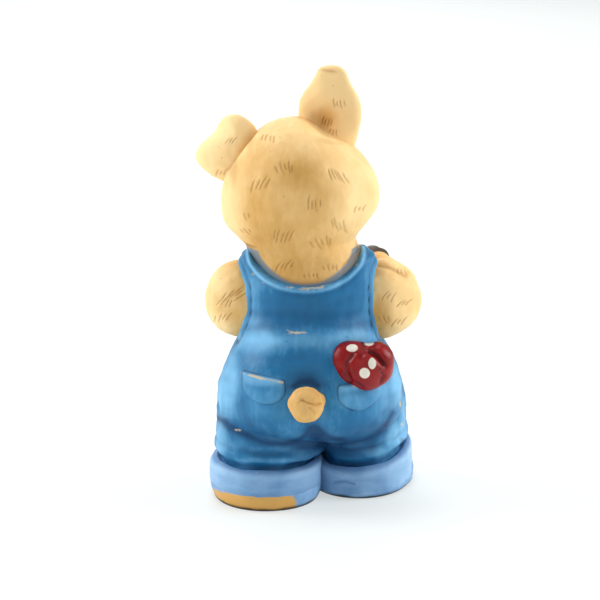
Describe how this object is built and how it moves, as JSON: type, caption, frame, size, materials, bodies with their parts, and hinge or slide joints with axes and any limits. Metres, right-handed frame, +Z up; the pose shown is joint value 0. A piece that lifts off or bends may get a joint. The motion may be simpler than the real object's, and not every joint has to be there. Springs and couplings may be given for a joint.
{
  "type": "pig figurine",
  "caption": "Standing pig figurine in blue bib overalls, head turned, one ear up and one folded, curled tail, dotted kerchief in a back pocket.",
  "frame": {"origin": "middle of the overall footprint box, on the surface that the feet stand on", "axes": "+Z up, the pig faces -Y, its own left is +X"},
  "size_m": [0.0443, 0.045, 0.087],
  "materials": {
    "flesh": "matte painted clay, flesh coloured, with short brushed hatch marks",
    "snout": "matte painted clay, a warmer flesh colour",
    "denim_blue": "satin painted clay, blue with darker recesses and worn edges",
    "turn_up_blue": "satin painted clay, light periwinkle blue",
    "kerchief_red": "satin painted clay, dark red with white dots",
    "hoof": "satin painted clay, dark brown",
    "eye_black": "glossy black paint",
    "button": "satin painted clay, brass coloured"
  },
  "bodies": {
    "root": {"bib_pocket": "denim_blue", "body": "flesh", "head": "flesh", "kerchief": "kerchief_red", "left_arm": "flesh", "left_button": "button", "left_cuff": "turn_up_blue", "left_ear": "flesh", "left_eye": "eye_black", "left_foot": "flesh", "left_hand_hoof": "hoof", "left_leg": "denim_blue", "left_pocket": "denim_blue", "left_strap": "denim_blue", "left_toes": "hoof", "overalls": "denim_blue", "right_arm": "flesh", "right_button": "button", "right_cuff": "turn_up_blue", "right_ear": "flesh", "right_eye": "eye_black", "right_foot": "flesh", "right_hand_hoof": "hoof", "right_leg": "denim_blue", "right_pocket": "denim_blue", "right_strap": "denim_blue", "right_toes": "hoof", "snout": "snout", "tail": "flesh"}
  },
  "joints": []
}
